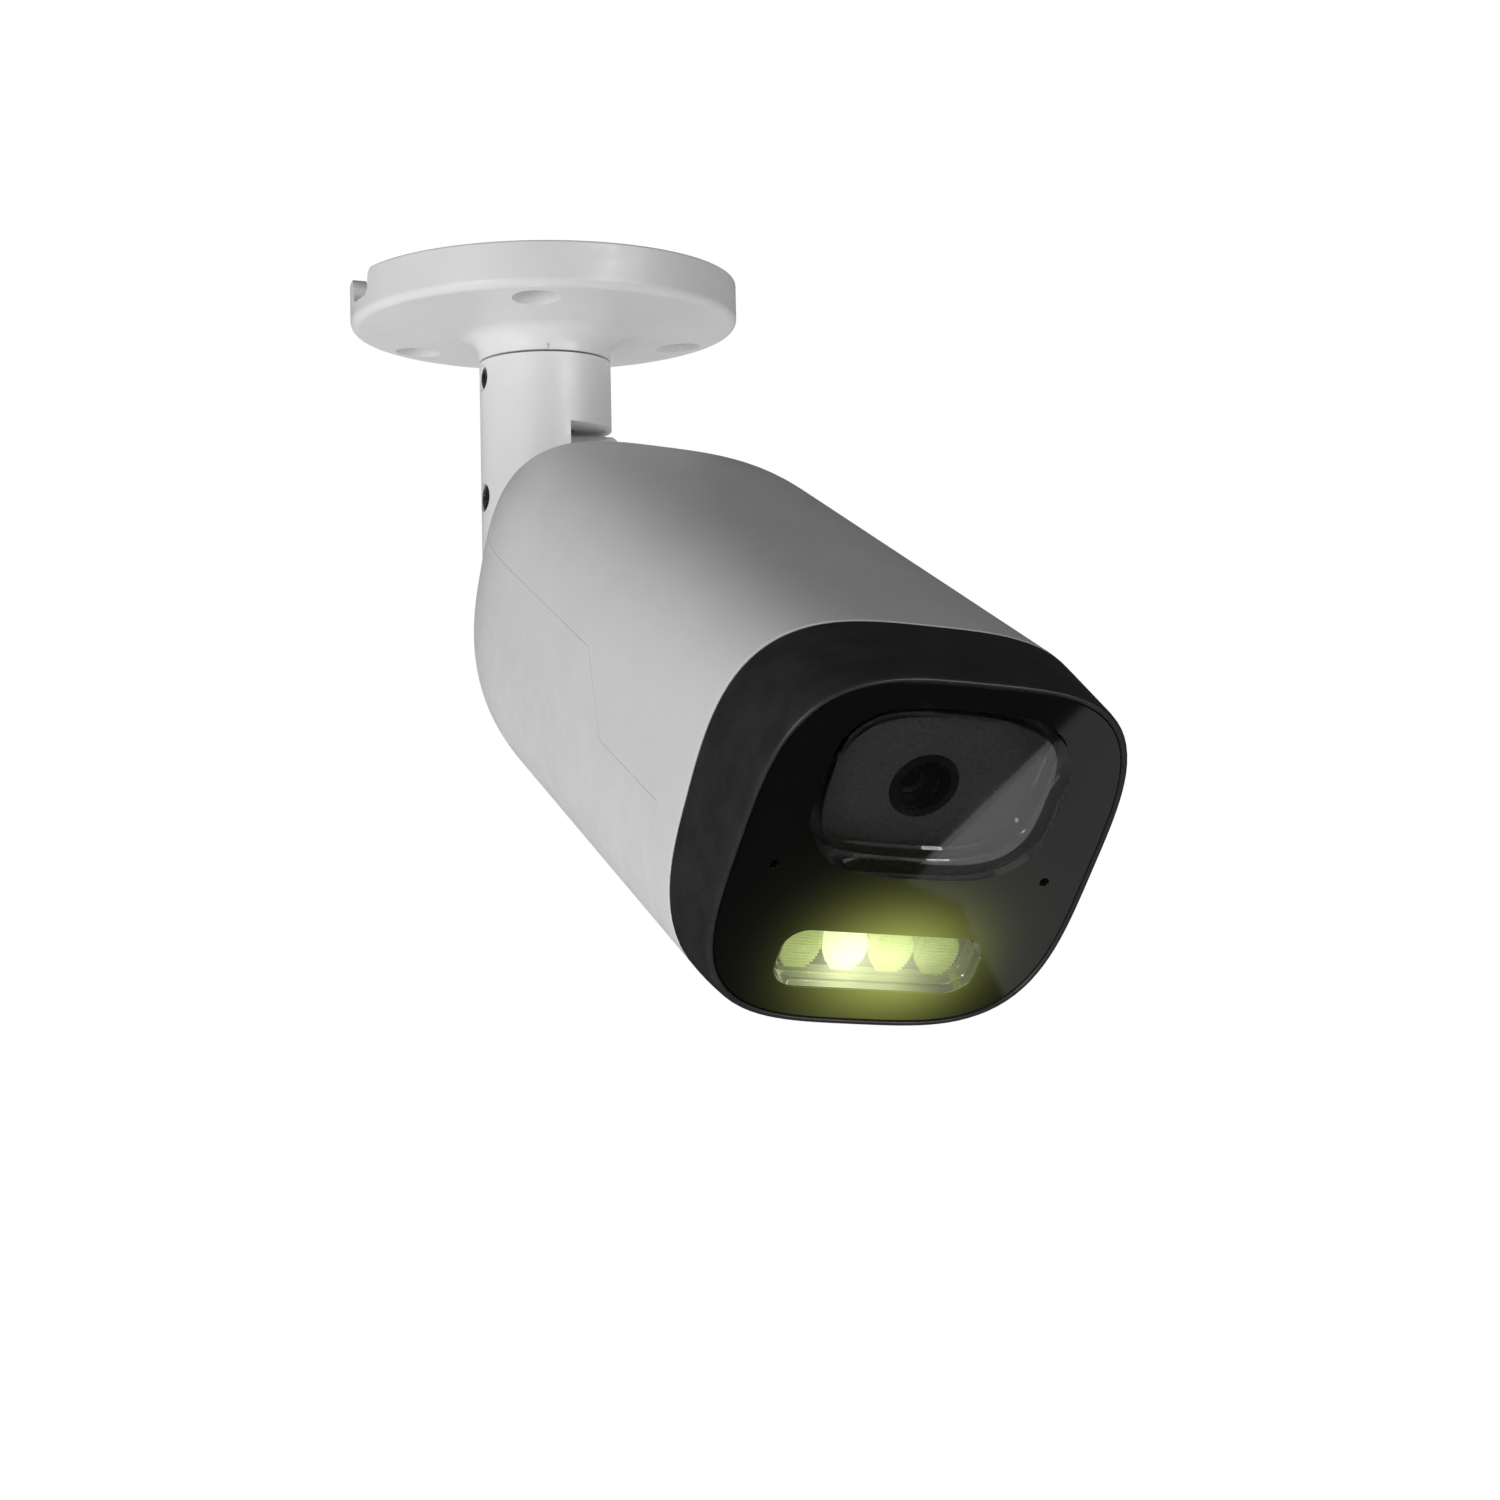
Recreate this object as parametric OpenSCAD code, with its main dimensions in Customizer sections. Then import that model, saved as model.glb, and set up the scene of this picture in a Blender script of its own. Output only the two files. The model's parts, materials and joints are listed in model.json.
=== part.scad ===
// Compact outdoor bullet camera on a three-axis ceiling bracket.
// Origin: centre of the base's mounting face. +Z is up into the ceiling, the camera faces -Y.

/* [Bracket] */
// Diameter of the round base
base_d = 70; // [66:1:80]
// Height of the base's straight rim
base_rim = 8; // [6:0.1:8.4]
// Distance from the mounting face down to the swivel gap
collar_drop = 13.8; // [13.5:0.1:16]
// Diameter of the arm and of the knuckle
arm_d = 23.8; // [23:0.1:25]
// Pitch circle of the three mounting screws
screw_pcd = 56; // [54:1:57]
// Through hole for a mounting screw
screw_hole_d = 4.5; // [4:0.1:5]
// Counterbore for a mounting screw's head
counterbore_d = 8.4; // [8:0.1:9]
// Azimuth of the first mounting hole from +X
base_turn = 10; // [0:5:60]
// Width of the cable notch in the rim
notch_w = 8; // [6:0.5:10]
// Azimuth of the cable notch from +X
notch_turn = 184; // [175:1:195]
// Distance from the mounting face down to the tilt axis
pivot_drop = 39; // [38:0.5:42]

/* [Pose] */
// Tilt of the camera below the horizontal
tilt_rest = 23; // [0:1:90]
// Roll of the camera about its own axis
roll_rest = 4.3; // [-10:0.1:10]

/* [Camera body] */
// Width of the body
body_w = 55.2; // [54:0.2:58]
// Height of the body
body_h = 57; // [56:0.2:60]
// Squareness of the body's section, 2 is an ellipse
body_n = 3.4; // [2.8:0.1:4]
// Distance that the body's axis passes below the tilt axis
axis_drop = 5; // [4:0.5:6]
// Wall thickness of the shells
wall = 2.2; // [1.8:0.1:2.6]
// Distance from the tilt axis to the seam between body and hood
hood_rear = 157.7; // [156:0.5:160]
// Distance from the tilt axis to the middle of the front rim
front = 172; // [172:0.5:175]
// Forward lean of the hood's rear seam, in mm per mm of height
seam_lean = 0.146; // [0.1:0.01:0.18]
// Size of the front rim relative to the body
rim_scale = 0.93; // [0.92:0.01:0.95]

/* [Front] */
// Height of the lens axis above the body axis
lens_up = 9.1; // [8:0.1:10]
// Half width of the raised lens window
window_hw = 16.4; // [15:0.1:17]
// Half height of the raised lens window
window_hh = 12; // [11:0.1:12.5]
// Distance that the lens window stands out of the front glass
window_raise = 2.2; // [1.5:0.1:2.5]
// Distance between neighbouring light-emitting diodes
led_pitch = 6.7; // [6.4:0.1:7]
// Distance from the body axis down to the row of lights
led_drop = 16.6; // [16:0.1:17.5]
// Distance from the body axis out to each microphone
mic_out = 19.3; // [18.5:0.1:20]

/* [Hidden] */
$fn = 64;

shell_white = [0.86, 0.86, 0.85];
hood_black = [0.13, 0.13, 0.14];
glass_black = [0.03, 0.03, 0.035];
mask_grey = [0.17, 0.17, 0.18];
board_green = [0.05, 0.26, 0.14];
metal = [0.68, 0.69, 0.7];

slip = 0.05;        // radial clearance of a running fit
gap = 0.15;         // seam between two shells
lap_x = 0.9;        // plane where the arm's tongue meets the knuckle's
arm_r = arm_d / 2;
stub_r = 8;         // radius of the stub that the camera rolls on
spigot_r = 8.5;     // radius of the base's spigot inside the arm
spigot_drop = 23;   // lower end of that spigot
shoulder_drop = pivot_drop - arm_r - 0.6;
tongue_bore_r = 8.4; // cable space inside the two tongues
neck_end = 18;      // seam between knuckle and body
body_full = 56;     // where the body reaches its full section
hw = body_w / 2;
hh = body_h / 2;
front_lean = 0.3;   // forward lean of the front rim, mm per mm of height
lean_angle = atan(front_lean);
glass_t = 2.4;
glass_sink = 0.8;   // glass face behind the rim
lip = 0.9;          // width of the hood's lip around the glass
mask_depth = 4.4;   // mask plate behind the face of the glass
cover_start = 42;
cover_step_a = 111.4;
cover_step_b = 123.1;
cover_end = 148.4;
seam_high = 7.8;    // height of the cover's seam at the back
seam_low = -2.4;    // height of the cover's seam at the front
deck_z = -16;       // upper face of the service deck
deck_t = 1.6;
liner_gap = 0.3;    // between the cover and the wall behind it
liner_t = 1.5;
sensor_at = 130;    // front face of the sensor board
frame_at = 150;     // rear face of the front frame
board_z = -9;       // lower face of the main board
holes_2 = [-1, 1];

// ---- helpers -------------------------------------------------------------

// One point of a squared ellipse.
function squared(a, b, n, t) =
  [a * sign(cos(t)) * pow(abs(cos(t)), 2 / n), b * sign(sin(t)) * pow(abs(sin(t)), 2 / n)];

// Outline of a squared ellipse. The half steps keep flats off the four extremes.
function outline(a, b, n = body_n, k = 48) =
  [for (i = [0:k - 1]) squared(a, b, n, (i + 0.5) * 360 / k)];

// The same outline as a ring in space at a forward distance f, leaning with height.
function ring(f, a, b, n = body_n, lean = 0) =
  [for (p = outline(a, b, n)) [p[0], -f - lean * p[1], p[1]]];

// Closed solid through a list of rings.
module loft(rings) {
  k = len(rings[0]);
  m = len(rings);
  sides = [
    for (j = [0:m - 2], i = [0:k - 1])
      [j * k + i, (j + 1) * k + i, (j + 1) * k + (i + 1) % k, j * k + (i + 1) % k]
  ];
  start = [[for (i = [0:k - 1]) i]];
  finish = [[for (i = [k - 1:-1:0]) (m - 1) * k + i]];
  polyhedron([for (r = rings) each r], concat(sides, start, finish), convexity = 8);
}

// Share of the full section that the body has reached at a forward distance f.
function swell(f) =
  let (t = max(0, min(1, (f - neck_end) / (body_full - neck_end))))
  (1 - pow(1 - t, 2.4)) * 1.03 * t / (t + 0.03);

// Ring of the body's skin at a forward distance f, moved inwards by inset.
function skin(f, inset = 0, lean = 0) =
  let (s = swell(f), a = arm_r + 0.1 + (hw - arm_r - 0.1) * s, b = arm_r + 0.1 + (hh - arm_r - 0.1) * s)
  ring(f, a - inset, b - inset, 2 + (body_n - 2) * sqrt(s), lean);

// Frame of the tilting knuckle: origin on the tilt axis.
module tilted() {
  translate([0, 0, -pivot_drop]) rotate([tilt_rest, 0, 0]) children();
}

// Frame of the camera: origin on the body's axis, -Y forward.
module camera() {
  tilted() translate([0, 0, -axis_drop]) rotate([0, roll_rest, 0]) children();
}

// Extrude a flat shape forwards from a distance f.
module along(f, x = 0, z = 0) {
  translate([x, -f, z]) rotate([90, 0, 0]) children();
}

// Frame of the leaning front: flat shapes lie in it, +Z points out of the glass.
module face(depth = 0) {
  along(front) rotate([lean_angle, 0, 0]) translate([0, 0, -depth]) children();
}

// Height in the leaning frame of a height above the body's axis.
function lifted(z) = z / cos(lean_angle);

// Round-cornered rectangle.
module rounded(w, h, r) {
  hull() {
    for (x = holes_2, y = holes_2) {
      translate([x * (w / 2 - r), y * (h / 2 - r)]) circle(r);
    }
  }
}

// Screw along Z with its head down at 0, with a cross recess in the head.
module pan_screw(head_d, head_t, d, length, recess = 1.1) {
  difference() {
    union() {
      cylinder(d = head_d, h = head_t);
      translate([0, 0, head_t]) cylinder(d = d, h = length);
    }
    for (a = [0, 90]) {
      rotate(a) translate([-head_d * 0.3, -0.35, -1]) cube([head_d * 0.6, 0.7, 1 + recess]);
    }
  }
}

// Headless set screw along Z with a hexagonal socket at 0.
module set_screw(d, length, socket) {
  difference() {
    cylinder(d = d, h = length);
    translate([0, 0, -1]) cylinder(d = socket, h = 3.2, $fn = 6);
  }
}

// ---- bracket -------------------------------------------------------------

// Outer half profile of the base, from the axis at the ceiling to the axis at the gap.
function base_profile() = concat(
  [[0, 0], [base_d / 2, 0]],
  [for (t = [0:15:90]) [base_d / 2 - 1.6 * (1 - cos(t)), -base_rim + 1.6 * (1 - sin(t))]],
  [[arm_r + 4, -9.2]],
  [for (t = [18:18:90]) [arm_r + 4 - 4 * sin(t), -13.2 + 4 * cos(t)]],
  [[arm_r, -collar_drop], [0, -collar_drop]]
);

module mount_positions() {
  for (i = [0:2]) {
    rotate(base_turn + 120 * i) translate([screw_pcd / 2, 0, 0]) children();
  }
}

module base_plate() {
  color(shell_white)
  difference() {
    union() {
      difference() {
        rotate_extrude() polygon(base_profile());
        translate([0, 0, -5]) cylinder(r = base_d / 2 - 2.6, h = 6);
      }
      translate([0, 0, -10]) cylinder(r = arm_r, h = 10);
      mount_positions() translate([0, 0, -6]) cylinder(d = counterbore_d + 2.4, h = 6);
      for (i = [0:5]) {
        rotate(base_turn + 30 + 60 * i) translate([arm_r - 1, -0.7, -6]) cube([19, 1.4, 5]);
      }
      translate([0, 0, -spigot_drop]) cylinder(r = spigot_r, h = spigot_drop - 10);
    }
    translate([0, 0, -spigot_drop - 1]) cylinder(r = 5.5, h = spigot_drop + 2);
    mount_positions() {
      translate([0, 0, -12]) cylinder(d = screw_hole_d, h = 13);
      translate([0, 0, -12]) cylinder(d = counterbore_d, h = 8);
    }
    rotate(notch_turn) {
      translate([9, -notch_w / 2, -4.6]) cube([base_d / 2, notch_w, 6]);
      translate([base_d / 2 + 3, 0, -1.4]) rotate([0, -90, 0]) cylinder(d = notch_w, h = 12);
    }
  }
}

module arm() {
  color(shell_white)
  difference() {
    union() {
      translate([0, 0, -shoulder_drop]) cylinder(r = arm_r, h = shoulder_drop - collar_drop - 0.4);
      intersection() {
        union() {
          translate([-arm_r, -arm_r, -pivot_drop]) cube([arm_r + lap_x, 2 * arm_r, arm_r + 3]);
          translate([-arm_r, 0, -pivot_drop]) rotate([0, 90, 0]) cylinder(r = arm_r, h = arm_r + lap_x);
        }
        translate([0, 0, -pivot_drop - arm_r - 1]) cylinder(r = arm_r, h = pivot_drop);
      }
    }
    translate([0, 0, -spigot_drop - 0.3]) cylinder(r = spigot_r + slip, h = spigot_drop);
    translate([0, 0, -pivot_drop]) cylinder(r = 5, h = pivot_drop);
    // cable space behind the tongue's face, around the screw's boss
    difference() {
      translate([-9, 0, -pivot_drop]) rotate([0, 90, 0]) cylinder(r = tongue_bore_r, h = 12);
      translate([-10, 0, -pivot_drop]) rotate([0, 90, 0]) cylinder(r = 4, h = 10 + lap_x);
      translate([-10, -9, -pivot_drop + 6.5]) cube([8.5, 18, 4]);
    }
    translate([-arm_r - 1, 0, -pivot_drop]) rotate([0, 90, 0]) cylinder(r = 2.6, h = 4);
    translate([-arm_r, 0, -pivot_drop]) rotate([0, 90, 0]) cylinder(r = 2 + slip, h = 16);
    translate([-arm_r - 1, 0, -17.2]) rotate([0, 90, 0]) cylinder(r = 2 + slip, h = 5);
    translate([-arm_r - 1, 0, -17.2]) rotate([0, 90, 0]) cylinder(r = 2.5, h = 1.5);
  }
}

module pan_set_screw() {
  color(metal)
  translate([-arm_r + 0.7, 0, -17.2]) rotate([0, 90, 0]) set_screw(4, arm_r - 0.75 - spigot_r, 2);
}

module tilt_screw() {
  color(metal)
  translate([-arm_r + 0.5, 0, -pivot_drop]) rotate([0, 90, 0]) pan_screw(4.9, 2, 3.9, 18.3, 1);
}

module tilt_nut() {
  color(metal)
  tilted() translate([6, 0, 0]) rotate([0, 90, 0]) difference() {
    cylinder(d = 7.9, h = 3.1, $fn = 6);
    translate([0, 0, -1]) cylinder(r = 2, h = 6);
  }
}

module knuckle() {
  reach = neck_end - 0.2;
  color(shell_white)
  tilted() difference() {
    union() {
      translate([lap_x + 0.15, 0, 0]) rotate([0, 90, 0]) cylinder(r = arm_r, h = arm_r - lap_x - 0.5);
      intersection() {
        along(0, 0, -axis_drop) cylinder(r = arm_r, h = reach);
        translate([lap_x + 0.15, -reach, -30]) cube([30, reach, 60]);
      }
      difference() {
        along(0, 0, -axis_drop) cylinder(r = arm_r, h = reach);
        translate([-20, 0, 0]) rotate([0, 90, 0]) cylinder(r = arm_r + 0.5, h = 40);
        translate([-30, -6, -60]) cube([60, 30, 120]);
        translate([-30, -arm_r - 0.5, 0]) cube([60, 30, 60]);
      }
    }
    along(arm_r + 0.6, 0, -axis_drop) cylinder(r = stub_r + slip, h = 20);
    // cable space inside the tongue, around the nut's boss
    difference() {
      rotate([0, 90, 0]) cylinder(r = tongue_bore_r, h = 9.6);
      translate([-1, 0, 0]) rotate([0, 90, 0]) cylinder(r = 5.6, h = 12);
      translate([0, -9, 3]) cube([12, 18, 9]);
    }
    rotate([0, 90, 0]) cylinder(r = 2 + slip, h = 8);
    translate([5.9, 0, 0]) rotate([0, 90, 0]) cylinder(d = 8.2, h = 8, $fn = 6);
    translate([0, -14.6, -axis_drop - arm_r - 1]) cylinder(r = 1.5 + slip, h = 6);
  }
}

module roll_set_screw() {
  color(metal)
  tilted() translate([0, -14.6, -axis_drop - arm_r + 0.6]) set_screw(3, arm_r - 0.65 - stub_r, 1.5);
}

// ---- rear of the camera ----------------------------------------------------

// Places of the three screws around the stub, facing forwards from a distance f.
module stub_positions(f) {
  along(f) for (i = [0:2]) {
    rotate(90 + 120 * i) translate([10.5, 0, 0]) children();
  }
}

module roll_stub() {
  color(metal)
  camera() difference() {
    union() {
      along(12.9) cylinder(r = stub_r, h = 17.5);
      along(30.1) cylinder(r = 12.9, h = 1.9);
    }
    along(9) cylinder(r = 5, h = 25);
    stub_positions(29) cylinder(r = 1.5, h = 4);
  }
}

module stub_screws() {
  color(metal)
  camera() stub_positions(33.4) rotate([180, 0, 0]) pan_screw(4, 1.3, 2.5, 6.5, 0.7);
}

module cable_gland() {
  color(hood_black)
  camera() difference() {
    union() {
      along(24) cylinder(r = 4.95, h = 8.1);
      along(32.05) cylinder(r = 6.6, h = 1.6);
    }
    along(23) cylinder(r = 2.5, h = 12);
  }
}

// ---- body shell ------------------------------------------------------------

// Solid between two heights and distances, cut from the camera's side profile.
module side_cut(points) {
  rotate([90, 0, 90]) linear_extrude(80, center = true)
    polygon([for (p = points) [-p[0], p[1]]]);
}

// Side profile of the lower cover, grown by g.
module cover_region(g) {
  side_cut([
    [cover_start - g, seam_high + g], [cover_step_a + g, seam_high + g],
    [cover_step_b + g, seam_low + g], [cover_end + g, seam_low + g],
    [cover_end + g, -40], [cover_start - g, -40]
  ]);
}

// Body filled solid, with its skin moved inwards by inset, up to a leaning front end.
module body_solid(inset, stations, last, lean) {
  loft(concat([for (f = stations) skin(f, inset)], [skin(last, inset, lean)]));
}

module tube_wall(outside, inside) {
  difference() {
    body_solid(outside, [31, 37, 43, 49, 56], 150, 0);
    body_solid(inside, [30, 37, 43, 49, 56], 151, 0);
  }
}

// Places of the front frame's screws, with +X pointing out to the nearest corner.
module frame_positions(f, rows = holes_2) {
  for (x = holes_2, z = rows) {
    along(f, 17 * x, 17.5 * z) rotate(atan2(z, x)) children();
  }
}

// Post behind such a screw, with a rib out to the shell.
module post() {
  translate([0, 0, -8]) cylinder(r = 4.2, h = 8, $fn = 32);
  translate([0, -1.5, -8]) cube([9, 3, 8]);
}

module cover_screw_positions() {
  for (f = [60, 142]) {
    translate([0, -f, 0]) children();
  }
}

module board_positions(z) {
  for (x = holes_2, f = [67, 117]) {
    translate([17 * x, -f, z]) children();
  }
}

// Rim around the service bay, between two heights.
module bay_rim(low, high) {
  translate([0, 0, low]) linear_extrude(high - low) difference() {
    translate([-15, -136]) square([30, 70]);
    translate([-13.4, -134.4]) square([26.8, 66.8]);
  }
}

module housing() {
  outer = [18.2, 19.2, 20.5, 22, 24, 27, 30, 34, 38, 43, 48, 52, 56];
  color(shell_white)
  camera() difference() {
    union() {
      difference() {
        body_solid(0, outer, hood_rear - gap / 2, seam_lean);
        body_solid(wall, [30, 34, 38, 43, 49, 56], 190, 0);
        cover_region(gap);
      }
      // sleeve that the hood slides over
      difference() {
        loft([skin(150, wall - 0.2), skin(152, wall - 0.2), skin(153, 3), skin(161, 3, seam_lean)]);
        body_solid(4.4, [148, 150], 170, 0);
      }
      // wall behind the cover, carried by the shell above the seam
      intersection() {
        tube_wall(wall - 0.2, wall + liner_gap + liner_t);
        side_cut([
          [38, seam_high + 0.6], [cover_step_a + 0.6, seam_high + 0.6],
          [cover_step_b + 0.6, seam_low + 0.6], [149.9, seam_low + 0.6], [149.9, 13], [38, 13]
        ]);
      }
      intersection() {
        tube_wall(wall + liner_gap, wall + liner_gap + liner_t);
        side_cut([[38, deck_z - 1], [149.9, deck_z - 1], [149.9, 13], [38, 13]]);
      }
      intersection() {
        body_solid(wall + liner_gap, [31, 37, 43, 49, 56], 150, 0);
        union() {
          side_cut([[38, deck_z - deck_t], [150, deck_z - deck_t], [150, deck_z], [38, deck_z]]);
          frame_positions(frame_at - 0.1, [-1]) post();
        }
      }
      intersection() {
        body_solid(wall - 0.3, [31, 37, 43, 49, 56], 152, 0);
        union() {
          frame_positions(frame_at - 0.1, [1]) post();
          side_cut([[39, -40], [41.2, -40], [41.2, deck_z], [39, deck_z]]);
          side_cut([[148.7, -40], [149.9, -40], [149.9, deck_z], [148.7, deck_z]]);
        }
      }
      bay_rim(-22.5, deck_z - deck_t / 2);
      cover_screw_positions() translate([0, 0, -26]) cylinder(r = 3, h = 9, $fn = 32);
      board_positions(board_z - 7.5) cylinder(r = 2.6, h = 7.4, $fn = 32);
    }
    along(17) cylinder(r = stub_r + 0.1, h = 14);
    stub_positions(24) cylinder(r = 1.3, h = 7, $fn = 24);
    cover_screw_positions() translate([0, 0, -27]) cylinder(r = 1.3, h = 7, $fn = 24);
    frame_positions(frame_at - 7) cylinder(r = 1.3, h = 8, $fn = 24);
    board_positions(board_z - 6) cylinder(r = 1.3, h = 7, $fn = 24);
  }
}

module cover() {
  color(shell_white)
  camera() difference() {
    union() {
      intersection() {
        difference() {
          body_solid(0, [38, 43, 48, 52, 56], 152, 0);
          body_solid(wall, [37, 43, 49, 56], 153, 0);
        }
        cover_region(0);
      }
      bay_rim(-26.8, -24.05);
    }
    cover_screw_positions() {
      translate([0, 0, -30]) cylinder(r = 1.5, h = 6, $fn = 24);
      translate([0, 0, -30]) cylinder(r = 2.6, h = 2.8, $fn = 32);
    }
  }
}

module cover_seal() {
  color(hood_black)
  camera() bay_rim(-24, -22.55);
}

module cover_screws() {
  color(metal)
  camera() cover_screw_positions() translate([0, 0, -28.3]) pan_screw(4.8, 1.1, 2.5, 6.2, 0.7);
}

// ---- service bay -----------------------------------------------------------

module service_board() {
  color(board_green)
  camera() translate([-12.5, -132, -19]) cube([25, 62, 1.2]);
}

module card_socket() {
  color(metal)
  camera() difference() {
    translate([-7, -95, -21]) cube([14, 15, 1.95]);
    translate([-5.6, -96, -20.7]) cube([11.2, 13, 0.9]);
  }
}

module reset_switch() {
  color(hood_black)
  camera() difference() {
    translate([-3, -113, -21.6]) cube([6, 6, 2.55]);
    translate([0, -110, -22]) cylinder(r = 1.5 + slip, h = 1.95);
  }
}

module reset_button() {
  color(shell_white)
  camera() translate([0, -110, -22.8]) cylinder(r = 1.5, h = 2.2);
}

// ---- front -----------------------------------------------------------------

// Outline of the glass in the leaning frame, grown by g.
module glass_outline(g) {
  polygon(outline(hw * rim_scale - lip + g, lifted(hh * rim_scale - lip) + g, 3.5));
}

// Outline of the lens window in the leaning frame, grown by g.
module window_outline(g) {
  translate([-0.4, lifted(10)]) polygon(outline(window_hw + g, lifted(window_hh) + g, 3.3));
}

// Outline of the light window in the leaning frame, grown by g.
module light_outline(g) {
  translate([0.3, lifted(-16.4)]) rounded(29 + 2 * g, lifted(8.8) + 2 * g, 3.4 + g);
}

module mic_positions() {
  for (x = holes_2) {
    translate([mic_out * x, lifted(-2.2)]) children();
  }
}

// Ring of the hood a share t of the way from its seam to its rim, moved inwards by inset.
function hood_ring(t, inset = 0) =
  let (k = 1 + (rim_scale - 1) * t)
  ring(hood_rear + gap / 2 + (front - hood_rear) * t, hw * k - inset, hh * k - inset,
    body_n + 0.1 * t, seam_lean + (front_lean - seam_lean) * t);

module hood() {
  ledge = (glass_sink + glass_t + 0.4) / cos(lean_angle) + 1.5;
  color(hood_black)
  camera() difference() {
    loft([
      hood_ring(0, 0.3), hood_ring(0.03), hood_ring(0.35), hood_ring(0.7), hood_ring(0.97),
      hood_ring(1.01, 0.5)
    ]);
    loft([
      ring(148, hw - 1.9, hh - 1.9), ring(hood_rear, hw - 1.9, hh - 1.9, body_n, seam_lean),
      ring(front - ledge, hw * rim_scale - 1.8, hh * rim_scale - 1.8, 3.5, front_lean)
    ]);
    face(glass_sink + glass_t + 0.4) linear_extrude(20) glass_outline(0.1);
    face(12) linear_extrude(20) glass_outline(-1.6);
  }
}

module front_gasket() {
  color(hood_black)
  camera() face(glass_sink + glass_t + 0.35) linear_extrude(0.3) difference() {
    glass_outline(0);
    glass_outline(-1.5);
  }
}

module front_glass() {
  color(glass_black)
  camera() face(glass_sink + glass_t) linear_extrude(glass_t) difference() {
    glass_outline(0);
    window_outline(0.1);
    light_outline(0.1);
    mic_positions() circle(r = 0.7, $fn = 24);
  }
}

module lens_window() {
  color([0.3, 0.32, 0.34, 0.4])
  camera() difference() {
    union() {
      face(glass_sink + glass_t + 1.05) linear_extrude(glass_t + window_raise + 1.05) window_outline(0);
      face(glass_sink + glass_t + 1.05) linear_extrude(1) window_outline(1.2);
    }
    face(glass_sink + glass_t + 3) linear_extrude(3 + glass_t + window_raise - 1.6) window_outline(-1.3);
  }
}

module mask_plate() {
  color(mask_grey)
  camera() difference() {
    face(glass_sink + mask_depth + 0.8) linear_extrude(0.8) window_outline(1.2);
    along(150, 0, lens_up) cylinder(r = 4.7, h = 30);
  }
}

module lens_cone() {
  color(hood_black)
  camera() difference() {
    along(166.2, 0, lens_up) rotate_extrude()
      polygon([[3.9, 0], [4.65, 0], [4.65, 7], [4.6, 7], [3.6, 5.6], [3.6, 1.6]]);
    face(glass_sink + mask_depth - 0.15) linear_extrude(20) square(100, center = true);
  }
}

module light_window() {
  ribs = 15;
  color([0.8, 0.85, 0.6, 0.5])
  camera() {
    face(glass_sink + glass_t + 0.85) linear_extrude(glass_t + 0.35) light_outline(0);
    face(glass_sink + glass_t + 0.85) linear_extrude(0.8) light_outline(1);
    for (i = [0:ribs - 1]) {
      face(glass_sink + 0.55) translate([-12, lifted(-16.4) - 3.5 + 7 * i / (ribs - 1), 0])
        cube([24.6, 0.22, 0.25]);
    }
  }
}

// Places of the four lights in the leaning frame.
module light_positions() {
  for (i = [-1.5:1:1.5]) {
    translate([led_pitch * i, lifted(-led_drop), 0]) children();
  }
}

module light_optics() {
  back = glass_sink + glass_t + 4.2;
  color([0.9, 0.93, 0.7, 0.6])
  camera() face(back) {
    light_positions() cylinder(r1 = 1.7, r2 = 3.1, h = 2.8);
    translate([-13.4, lifted(-led_drop) - 3.3, 2.7]) cube([26.8, 6.6, 0.55]);
  }
}

module light_chips() {
  color([0.95, 0.9, 0.3])
  camera() face(glass_sink + glass_t + 5) light_positions()
    translate([-1.4, -1.4, 0]) cube([2.8, 2.8, 0.7]);
}

module light_board() {
  color([0.9, 0.9, 0.88])
  camera() face(glass_sink + glass_t + 6.25) difference() {
    translate([-17, lifted(-led_drop) - 4.2, 0]) cube([34, 8.4, 1.2]);
    for (x = holes_2) {
      translate([13.2 * x, lifted(2.7 - led_drop), -1]) cylinder(r = 0.9, h = 4);
    }
  }
}

module microphones() {
  color(metal)
  camera() face(glass_sink + glass_t + 1.45) mic_positions() difference() {
    cylinder(r = 2, h = 1.4);
    translate([0, 0, 0.6]) cylinder(r = 0.6, h = 2);
  }
}

// Places of the four posts that carry the sensor board, facing forwards from a distance f.
module sensor_positions(f) {
  for (x = holes_2, z = holes_2) {
    along(f, 11.5 * x, lens_up + 11.9 * z) children();
  }
}

module front_frame() {
  color(hood_black)
  camera() difference() {
    union() {
      along(frame_at) linear_extrude(2) polygon(outline(hw - 4.6, hh - 4.6));
      for (x = holes_2) {
        along(frame_at + 1, 13.2 * x, 2.7 - led_drop) cylinder(r = 2, h = 5.2);
      }
      sensor_positions(sensor_at + 0.1) cylinder(r = 2.2, h = 20.5);
    }
    along(frame_at - 1, 0, lens_up) cylinder(r = 8.2, h = 4);
    frame_positions(frame_at - 1) cylinder(r = 1.5, h = 4);
    translate([-8, -152, -22]) cube([16, 4, 7]);
    sensor_positions(sensor_at) cylinder(r = 0.9, h = 7);
  }
}

module frame_screws() {
  color(metal)
  camera() frame_positions(frame_at + 3.4) rotate([180, 0, 0]) pan_screw(4.6, 1.3, 2.5, 7, 0.7);
}

// ---- lens and sensor -------------------------------------------------------

module lens_barrel() {
  color(hood_black)
  camera() along(137.5, 0, lens_up) rotate_extrude() polygon([
    [4.6, 0], [5.95, 0], [5.95, 13], [7, 13], [7, 28], [6.4, 28.4], [3.9, 28.4], [2.9, 27],
    [2.9, 26.7], [3.9, 26.7], [3.9, 22], [3.2, 21], [3.2, 8], [4.6, 7]
  ]);
}

module front_element() {
  color([0.2, 0.22, 0.3, 0.6])
  camera() along(137.5, 0, lens_up) rotate_extrude() polygon(concat(
    [[0, 22.3], [3.8, 22.3]],
    [for (t = [0:10:90]) [3.8 * cos(t), 25.2 + 1.3 * sin(t)]]
  ));
}

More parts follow.
